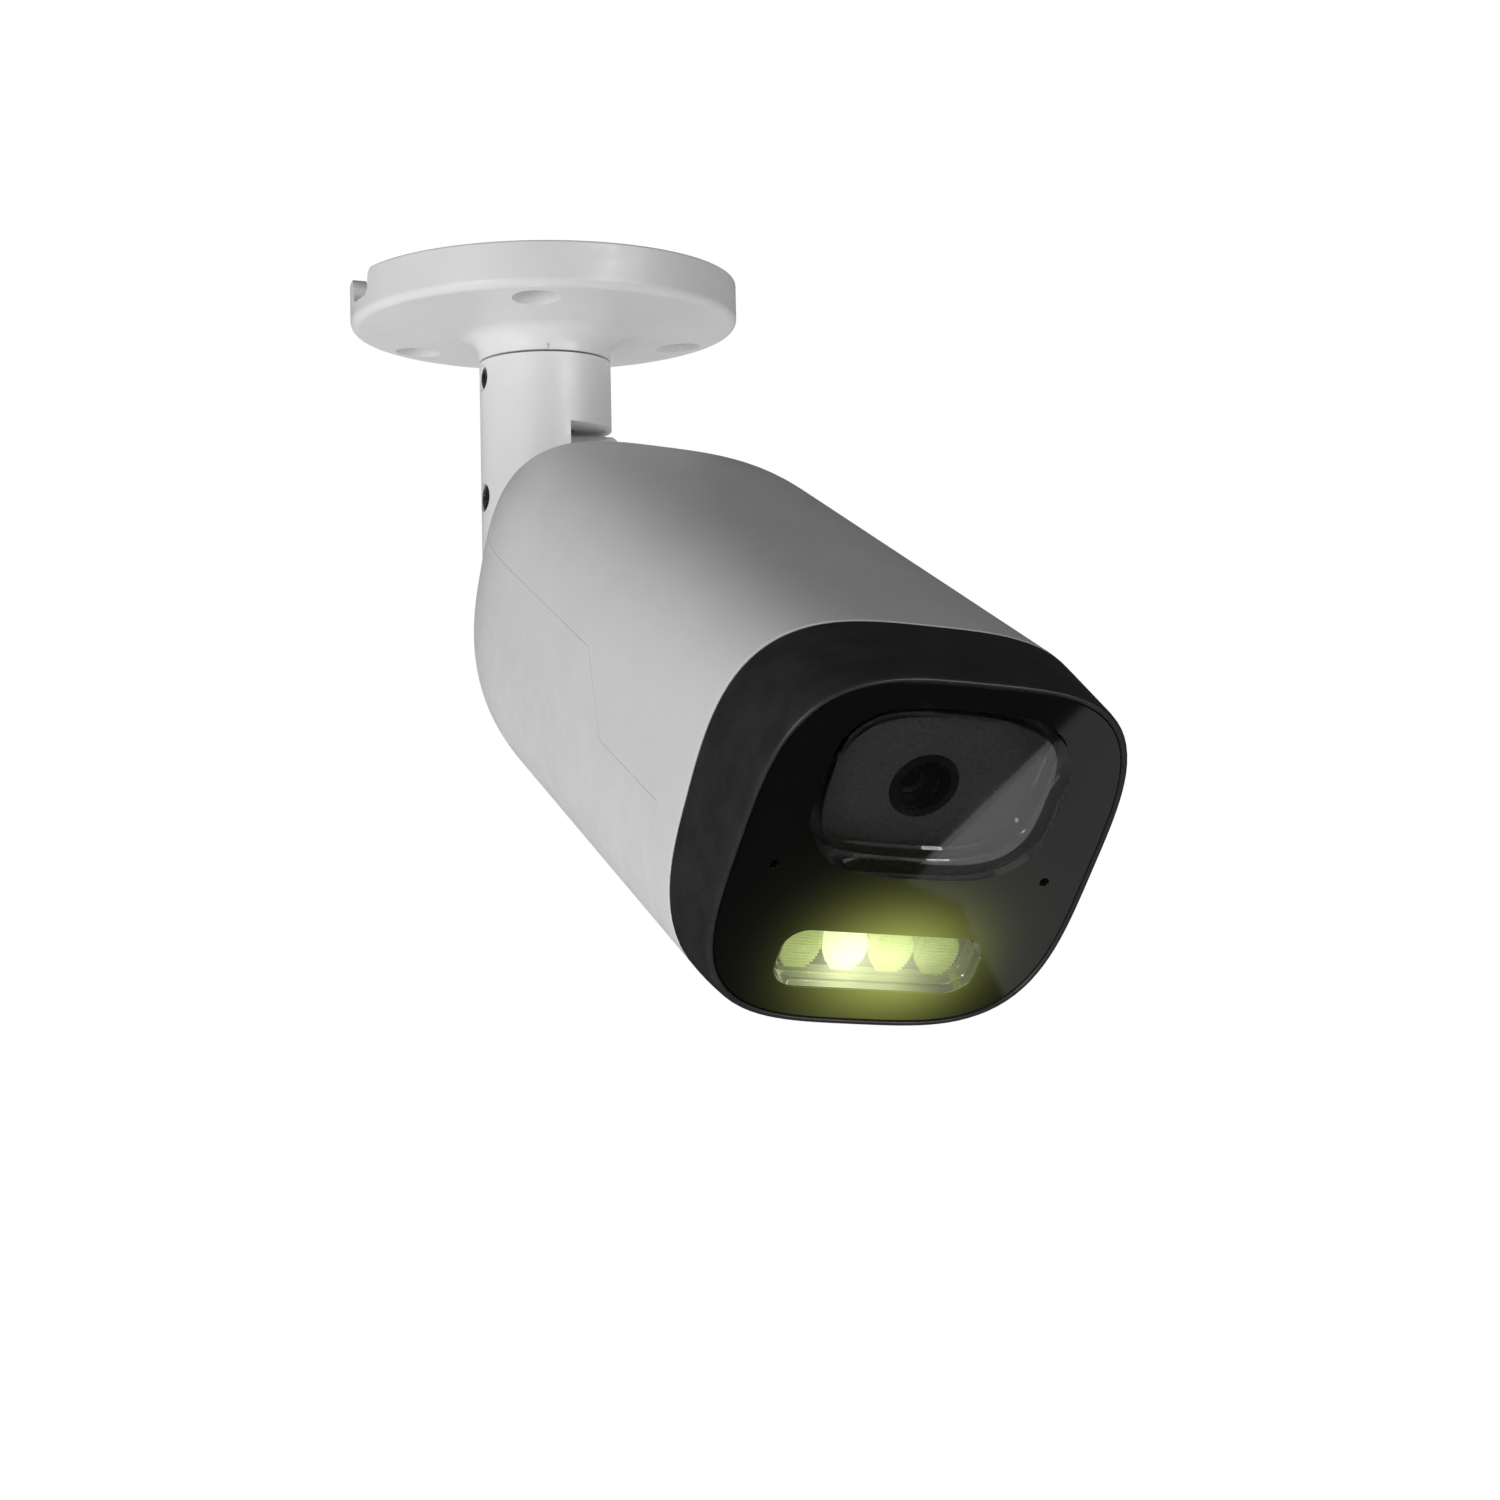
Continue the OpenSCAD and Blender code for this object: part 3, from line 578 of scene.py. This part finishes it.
def skin(f, inset=0.0, lean=0.0):
    """Section of the body's skin at a forward distance f, moved inwards by inset."""
    s = swell(f)
    start = ARM_R + 0.1
    a = start + (HALF_W - start) * s - inset
    b = start + (HALF_H - start) * s - inset
    grown = math.sqrt(s)
    return ring(f, a, b, 2 + (SQUARE - 2) * grown, lean, 2 + (BELOW - 2) * grown)


def body_shell(name):
    """The whole shell, from the neck to the hood's seam, before the cover is parted from it."""
    flare = [NECK_END + 0.2 + (BODY_FULL - NECK_END - 0.2) * (i / 44) ** 1.25 for i in range(45)]
    outside = [skin(flare[0], 0.3)] + [skin(f) for f in flare[1:]]
    outside += [skin(f) for f in (90, 110, 130, 148)]
    end = HOOD_REAR - 0.08
    outside += [skin(end - 0.3, 0, SEAM_LEAN), skin(end - 0.08, 0.07, SEAM_LEAN), skin(end, 0.28, SEAM_LEAN)]
    inside = [skin(end, WALL, SEAM_LEAN), skin(140, WALL), skin(100, WALL)]
    inside += [skin(f, WALL) for f in (70, 63, 56, 50, 44, 38, 34, 30)]
    return loft(name, outside + inside, CAMERA)


def cover_profile(g):
    """Side profile of the lower cover, grown by g."""
    high, low = 7.8 + g, -2.4 + g
    return [
        (42 - g, high), (111.4 + g, high), (123.1 + g, low), (148.4 + g, low),
        (148.4 + g, -40), (42 - g, -40),
    ]


def make_housing():
    """Body shell without the lower cover."""
    housing = body_shell("housing_shell")
    cut(housing, side_prism(cover_profile(0.03)))
    cut(housing, cylinder(8.1, 10, 35, along(0)))
    return housing


def make_cover():
    """Lower cover with its two counterbored screw holes."""
    cover = body_shell("service_cover")
    keep(cover, side_prism(cover_profile(-0.02)))
    for f in COVER_SCREWS:
        m = CAMERA @ Matrix.Translation((0, -f * MM, 0))
        cut(cover, cylinder(2.6, -30, -HALF_H + 1.3, m, 48), cylinder(1.5, -30, -20, m, 32))
    return cover


def make_liner():
    """Wall and deck behind the cover."""
    stations = (38, 42, 46, 50, 56, 63, 70, 150)
    rings = [skin(f, WALL + 0.3) for f in stations] + [skin(f, WALL + 1.8) for f in reversed(stations)]
    liner = loft("housing_liner", rings, CAMERA, loop=True)
    keep(liner, side_prism([(30, -17.6), (160, -17.6), (160, 13), (30, 13)]))
    deck = side_prism([(40, -17.6), (149, -17.6), (149, -16), (40, -16)])
    keep(deck, loft("cutter", [skin(f, WALL + 0.4) for f in stations], CAMERA))
    return add(liner, deck)


# ---- front -------------------------------------------------------------------------------

GLASS_A = HALF_W * RIM_SCALE - 0.9
GLASS_B = HALF_H * RIM_SCALE - 0.9


def hood_ring(t, inset=0.0):
    """Section of the hood a share t of the way from its seam to its rim."""
    k = 1 + (RIM_SCALE - 1) * t
    f = HOOD_REAR + 0.08 + (FRONT - HOOD_REAR) * t
    lean = SEAM_LEAN + (FRONT_LEAN - SEAM_LEAN) * t
    below = BELOW + (3.5 - BELOW) * t
    return ring(f, HALF_W * k - inset, HALF_H * k - inset, SQUARE + 0.1 * t, lean, below)


def pocket_ring(depth, grow):
    """Section of the pocket for the glass, at a depth behind the rim."""
    return ring(FRONT - depth / math.cos(LEAN), GLASS_A + grow, GLASS_B + grow, 3.5, FRONT_LEAN)


def make_hood():
    """Hood with a rounded rim and the pocket for the front glass."""
    rings = [hood_ring(0, 0.35), hood_ring(0.008, 0.1), hood_ring(0.03)]
    rings += [hood_ring(t) for t in (0.2, 0.4, 0.6, 0.8, 0.93)]
    rings += [hood_ring(0.975, 0.04), hood_ring(1.0, 0.18), hood_ring(1.014, 0.4)]
    rings += [pocket_ring(-0.2, 0.38), pocket_ring(-0.1, 0.2), pocket_ring(0.15, 0.12)]
    rings += [pocket_ring(3.6, 0.1), pocket_ring(3.6, -1.6), pocket_ring(5.2, -1.6)]
    rings += [ring(FRONT - 7.5, HALF_W * RIM_SCALE - 1.8, HALF_H * RIM_SCALE - 1.8, 3.5, FRONT_LEAN)]
    rings += [hood_ring(0.04, 1.9), hood_ring(0, 1.9)]
    return loft("hood_shell", rings, CAMERA, loop=True)


def glass_outline(grow=0.0):
    return squircle(GLASS_A + grow, lifted(GLASS_B) + grow, 3.5)


def window_outline(grow=0.0):
    return squircle(16.4 + grow, lifted(12) + grow, 3.3, -0.4, lifted(10))


def light_outline(grow=0.0):
    return stadium(29 + 2 * grow, lifted(8.8) + 2 * grow, 3.4 + grow, 0.3, lifted(-16.4))


def make_glass():
    """Front panel with two windows and two microphone holes."""
    glass = prism("front_panel", glass_outline(), -GLASS_SINK - GLASS_T, -0.1, FACE)
    cut(glass, prism("cutter", window_outline(0.1), -9, 3, FACE))
    cut(glass, prism("cutter", light_outline(0.1), -9, 3, FACE))
    for x in (-MIC_OUT, MIC_OUT):
        at = FACE @ Matrix.Translation(Vector((x, lifted(MIC_Z), 0)) * MM)
        cut(glass, cylinder(0.62, -9, 3, at, 32))
    return glass


def make_window():
    """Raised clear cover in front of the lens."""
    back = -GLASS_SINK - GLASS_T - 1.05
    front = -GLASS_SINK + 2.2
    window = prism("lens_cover", window_outline(), back, front, FACE)
    add(window, prism("cutter", window_outline(1.2), back, back + 1, FACE))
    return cut(window, prism("cutter", window_outline(-1.3), back - 2, front - 1.6, FACE))


MASK = -GLASS_SINK - 4.4  # height of the mask plate's face in the leaning frame


def make_mask():
    """Textured plate around the lens."""
    mask = prism("lens_mask", window_outline(1.2), MASK - 0.8, MASK, FACE)
    return cut(mask, cylinder(4.7, 150, 180, along(0, 0, LENS_UP)))


def make_cone():
    """Dark ring that joins the mask to the lens."""
    profile = [(3.9, 0), (4.65, 0), (4.65, 7), (4.6, 7), (3.6, 4.4), (3.55, 1.6)]
    cone = lathe("lens_ring", profile, along(LENS_RING_START, 0, LENS_UP))
    return cut(cone, prism("cutter", squircle(30, 30, 2, count=16), MASK + 0.12, MASK + 20, FACE))


def make_barrel():
    """Lens tube with stepped rings around its opening."""
    profile = [(4.6, 0), (5.95, 0), (5.95, 13), (7, 13), (7, 28), (6.4, 28.4), (4.0, 28.4)]
    profile += [(3.55, 27.9), (3.5, 27.4), (2.7, 27.3), (2.6, 27.0), (2.1, 26.9), (1.7, 26.6)]
    profile += [(3.9, 26.4), (3.9, 22), (3.2, 21), (3.2, 8), (4.6, 7)]
    return lathe("lens_tube", profile, along(BARREL_START, 0, LENS_UP))


def make_element():
    """Domed front glass of the lens."""
    dome = [(3.7 * math.cos(t), 24.9 + 1.5 * math.sin(t)) for t in [math.pi / 40 * i for i in range(21)]]
    profile = [(0, 22.6), (3.7, 22.6)] + dome[:-1] + [(0, 26.4)]
    return lathe("lens_front_element", profile, along(BARREL_START, 0, LENS_UP))


LED_BACK = -GLASS_SINK - GLASS_T  # back of the glass in the leaning frame


def led_frame(i, depth=0.0):
    """Frame of one light, its number counted from the left, behind the front panel."""
    spot = Vector((LED_PITCH * (i - 1.5), lifted(-LED_DROP), LED_BACK - depth))
    return FACE @ Matrix.Translation(spot * MM)


def make_light_window():
    """Clear cover over the four lights, hollow behind."""
    plate = prism("light_cover", light_outline(), LED_BACK - 0.85, -0.3, FACE)
    add(plate, prism("cutter", light_outline(1), LED_BACK - 0.85, LED_BACK - 0.05, FACE))
    return cut(plate, prism("cutter", light_outline(-0.7), LED_BACK - 2, -1.2, FACE))


def make_optic(i):
    """Oval optic of one light, domed at the front and ribbed across."""
    steps = [(1.7, 0), (2.3, 0.9), (2.9, 2.2), (3.0, 2.9), (2.7, 3.25), (2.1, 3.5), (1.3, 3.65), (0.4, 3.7)]
    rings = [[(x, y, 1.28 * z) for x, y in squircle(r * 0.97, r * 1.2, 2.2, count=48)] for r, z in steps]
    optic = loft(f"light_optic_{i + 1}", rings, led_frame(i, 4.2))
    for k in range(13):
        y = -3 + 0.5 * k
        width = 2.7 * math.sqrt(max(0.05, 1 - (y / 3.7) ** 2))
        add(optic, box((-width, y - 0.11, 3.4), (width, y + 0.11, 4.84), led_frame(i, 4.2)))
    return optic


def make_chip(i):
    """Square light chip with a round phosphor dot."""
    chip = prism(f"light_chip_{i + 1}", stadium(2.8, 2.8, 0.4, steps=4), 0, 0.7, led_frame(i, 5))
    add(chip, prism("cutter", squircle(1.1, 1.1, 2, count=32), 0.5, 0.82, led_frame(i, 5)))
    return chip


# ---- build -------------------------------------------------------------------------------

WHITE = enamel("bracket enamel", 0.80, 2600, 1.2e-5)
SHELL = enamel("shell enamel", 0.78, 2200, 2.2e-5)
STEEL = plain("satin steel", tone(0.42), 0.34, 1.0, 1500, 1e-5)
BLACK = plain("moulded black", tone(0.02), 0.5)
RUBBER = plain("black rubber", tone(0.018), 0.75)


def hood_material():
    """Satin black with a fine grain."""
    m = material("hood black", tone(0.03), 0.36, IOR=1.42)
    vary_color(m, ramp(m, noise(m, 220, 4), 0.35, 0.65, 0, 1), tone(0.022), tone(0.032))
    vary_roughness(m, noise(m, 800, 3, (1, 1, 8)), 0.3, 0.42)
    bump(m, noise(m, 2400, 3), 1.5e-5)
    return m


def glass_material():
    """Black gloss panel with a painted glow of the lights behind it."""
    m = material("front glass", tone(0.0035), 0.035, IOR=1.38)
    painted_glow_spots = [
        (led_frame(1.2, -2.5).translation, 0.0080, 0.26),
        (led_frame(2.3, -2.5).translation, 0.0078, 0.34),
        (led_frame(1.9, -2.5).translation, 0.0120, 0.07),
    ]
    # painted glow: emission on the panel stands in for the lights' light scattered in the glass
    emission(m, (0.70, 0.78, 0.18), 0, painted_halo(m, painted_glow_spots))
    return m


def mask_material():
    """Matte dark grey with a visible grain."""
    m = material("mask texture", tone(0.05), 0.6)
    grain = noise(m, 2600, 3)
    vary_color(m, ramp(m, grain, 0.35, 0.65, 0, 1), tone(0.035), tone(0.062))
    bump(m, grain, 6e-5)
    return m


def build_bracket():
    """Base, arm, knuckle and the two screws that show."""
    place(make_base(), WHITE, "base", "white_enamel", "base_plate", edge=0.25)
    place(make_arm(), WHITE, "arm", "white_enamel", "arm", edge=0.3)
    place(make_knuckle(), WHITE, "knuckle", "white_enamel", "knuckle", edge=0.4)
    upper = x_axis(-ARM_R + 0.35, PAN_SCREW_Z)
    lower = x_axis(-ARM_R + 0.35, PIVOT_Z)
    pan_screw = make_screw("pan_screw", 2.0, 2.9, 1.2, upper, True)
    place(pan_screw, STEEL, "arm", "steel", "pan_set_screw", edge=0.05)
    tilt_screw = make_screw("tilt_screw_head", 2.45, 2.0, 1.1, lower)
    place(tilt_screw, STEEL, "arm", "steel", edge=0.05)


def build_body():
    """Body shells and hood."""
    place(make_housing(), SHELL, "camera", "white_shell", "housing", edge=0.12, angle=40, segments=2)
    place(make_cover(), SHELL, "camera", "white_shell", "cover", edge=0.12, angle=40, segments=2)
    place(make_liner(), SHELL, "camera", "white_shell", edge=0)
    place(make_hood(), hood_material(), "camera", "hood_black", "hood", edge=0)


def build_front():
    """Front panel, windows, mask and lens."""
    place(make_glass(), glass_material(), "camera", "gloss_black", "front_glass", edge=0.75, segments=6)
    window = clear("lens window", tone(0.96), 1.33)
    place(make_window(), window, "camera", "window_clear", "lens_window", edge=0.8, segments=6)
    place(make_mask(), mask_material(), "camera", "mask_grey", "mask_plate", edge=0.1)
    inner = plain("lens black", tone(0.004), 0.3, 0, 900, 5e-6, IOR=1.3)
    place(make_cone(), inner, "camera", "carrier_black", "lens_cone", edge=0.08)
    place(make_barrel(), inner, "camera", "carrier_black", "lens_barrel", edge=0.06)
    element = material("lens coating", (0.004, 0.004, 0.006), 0.02, IOR=1.7)
    place(make_element(), element, "camera", "lens_glass", "front_element", edge=0)
    place(make_light_window(), light_cover_material(), "camera", "light_clear", "light_window", edge=0.25)


def build_lights():
    """Four lights, the second white hot."""
    lime = (0.74, 0.82, 0.34)
    hot = (0.92, 0.95, 0.72)
    for i, (strength, glow) in enumerate(((0.8, lime), (3.1, hot), (1.5, lime), (0.9, lime))):
        glass = material(f"light optic {i + 1}", (0.5, 0.55, 0.25), 0.12, IOR=1.45)
        # painted glow: the optic's emission stands in for the chip's light passing through it; the chip's phosphor
        # is the lamp
        emission(glass, glow, 0.27 * strength)
        place(make_optic(i), glass, "camera", "light_clear", edge=0)
        phosphor = plain(f"phosphor {i + 1}", (0.9, 0.8, 0.25), 0.5)
        emission(phosphor, (1.0, 0.95, 0.5), 0.35 * strength)
        place(make_chip(i), phosphor, "camera", "light_phosphor", edge=0.05)
    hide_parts("light_optics")
    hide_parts("light_chips")


SLOT_LOOKS = {
    "steel": STEEL,
    "carrier_black": BLACK,
    "rubber_black": RUBBER,
    "white_enamel": WHITE,
    "white_shell": SHELL,
}


def finish_cad_nodes():
    """Materials of the CAD nodes that stay as they are."""
    looks = dict(SLOT_LOOKS)
    looks["light_board_white"] = plain("white board", (0.82, 0.82, 0.8), 0.4)
    looks["board_green"] = plain("board green", (0.015, 0.11, 0.045), 0.35, 0, 500, 1e-5)
    looks["heat_sink_aluminium"] = plain("aluminium", tone(0.6), 0.4, 1.0, 1200, 1e-5)
    looks["connector_cream"] = plain("cream plastic", (0.78, 0.76, 0.68), 0.45)
    looks["ribbon_amber"] = plain("polyimide", (0.5, 0.22, 0.03), 0.3)
    looks["sensor_silicon"] = plain("sensor", (0.03, 0.05, 0.09), 0.1, 0.4, 4000, 2e-6)
    looks["filter_glass"] = clear("filter", (0.7, 0.45, 0.55), 1.5)
    looks["pane_glass"] = clear("pane", (0.9, 0.97, 0.97), 1.5)
    looks["lens_glass"] = clear("lens glass", (0.8, 0.85, 0.9), 1.6)
    slots = {s["node"]: s["material_slot"] for s in frame["record"]["subparts"]}
    for name, obj in frame["nodes"].items():
        look = looks.get(slots[name])
        if look:
            obj.data.materials.clear()
            obj.data.materials.append(look)


# ---- stage -------------------------------------------------------------------------------

EYE = Vector((-0.15178, -0.48643, -0.12342))  # where the camera stands
EYE_AZIMUTH = 21.35
EYE_PITCH = 4.29
EYE_ROLL = -1.30
LENS = 67.88


def make_view():
    """Camera at the photo's angle."""
    data = bpy.data.cameras.new("view")
    data.sensor_width = 36
    data.lens = LENS
    data.clip_start = 0.01
    view = bpy.data.objects.new("view", data)
    view.matrix_world = (
        Matrix.Translation(EYE)
        @ Matrix.Rotation(math.radians(-EYE_AZIMUTH), 4, "Z")
        @ Matrix.Rotation(math.radians(90 + EYE_PITCH), 4, "X")
        @ Matrix.Rotation(math.radians(EYE_ROLL), 4, "Z")
    )
    bpy.context.scene.collection.objects.link(view)
    bpy.context.scene.camera = view


def area_light(name, spot, target, size, power, shape="RECTANGLE", ratio=1.0):
    data = bpy.data.lights.new(name, "AREA")
    data.shape = shape
    data.size = size
    data.size_y = size * ratio
    data.energy = power
    light = bpy.data.objects.new(name, data)
    direction = Vector(target) - Vector(spot)
    light.matrix_world = Matrix.Translation(spot) @ direction.to_track_quat("-Z", "Y").to_matrix().to_4x4()
    bpy.context.scene.collection.objects.link(light)
    return light


def only_seen_by(obj, **kinds):
    """Limit which rays meet a helper plane."""
    for kind in ("camera", "diffuse", "glossy", "transmission", "shadow", "volume_scatter"):
        setattr(obj, "visible_" + kind, kinds.get(kind, False))


def ray_switch(tree, seen, otherwise, kind="Is Camera Ray"):
    """One value for a kind of ray, and another value or socket for all others."""
    rays = tree.nodes.new("ShaderNodeLightPath")
    blend = tree.nodes.new("ShaderNodeMapRange")
    if isinstance(otherwise, (int, float)):
        blend.inputs["To Min"].default_value = otherwise
    else:
        tree.links.new(otherwise, blend.inputs["To Min"])
    blend.inputs["To Max"].default_value = seen
    tree.links.new(rays.outputs[kind], blend.inputs["Value"])
    return blend.outputs["Result"]


def make_floor():
    """Pale floor, pure white to the camera."""
    floor = prism("floor", stadium(16000, 16000, 500), -905, -900)
    pale = material("pale floor", tone(0.5), 0.8)
    emission(pale, (1, 1, 1), 1, ray_switch(pale.node_tree, 1.2, 0.75))
    floor.data.materials.append(pale)
    only_seen_by(floor, camera=True, diffuse=True, shadow=True)


def make_world():
    """White to the camera, nearly dark in reflections, a dim even light otherwise."""
    world = bpy.data.worlds.new("studio")
    world.use_nodes = True
    tree = world.node_tree
    sky = tree.nodes["Background"]
    sky.inputs["Color"].default_value = (1, 1, 1, 1)
    lighting = ray_switch(tree, 0.03, 0.18, "Is Glossy Ray")
    tree.links.new(ray_switch(tree, 1.0, lighting), sky.inputs["Strength"])
    bpy.context.scene.world = world


def make_card(name, points, distance, direction, strength):
    """Glowing card that faces the glass panel, seen only as a reflection."""
    toward = Vector(direction).normalized()
    side = toward.cross(Vector((0, 1, 0))).normalized()
    m = Matrix((side, side.cross(toward), toward)).transposed().to_4x4()
    m = Matrix.Translation(Vector((0.0017, -0.1564, -0.1096)) + toward * distance) @ m
    card = prism(name, points, 0, 1, m)
    glow = material(name, (0, 0, 0), 1)
    emission(glow, (1, 1, 1), strength)
    card.data.materials.append(glow)
    only_seen_by(card, glossy=True)


def make_stage():
    """Floor, surroundings, two soft lights and two reflected cards."""
    bpy.context.scene.view_settings.view_transform = "Standard"
    make_floor()
    make_world()
    middle = Vector((0, -0.08, -0.07))
    area_light("key", (-1.1, -0.75, -0.25), middle, 0.7, 7)
    area_light("fill", (0.2, -1.3, -0.2), middle, 0.9, 0.8)
    wedge = [(56, -46), (-10, 9), (9, 18), (13, 32), (20, 48), (30, 70), (90, 70), (90, -46)]
    make_card("reflection", wedge, 0.6, (0.3899, -0.2188, -0.8945), 0.8)
    make_card("top_light", stadium(500, 420, 40), 1.0, (0.42, -0.84, 0.2), 6)


build_bracket()
build_body()
build_front()
build_lights()
finish_cad_nodes()
make_view()
make_stage()
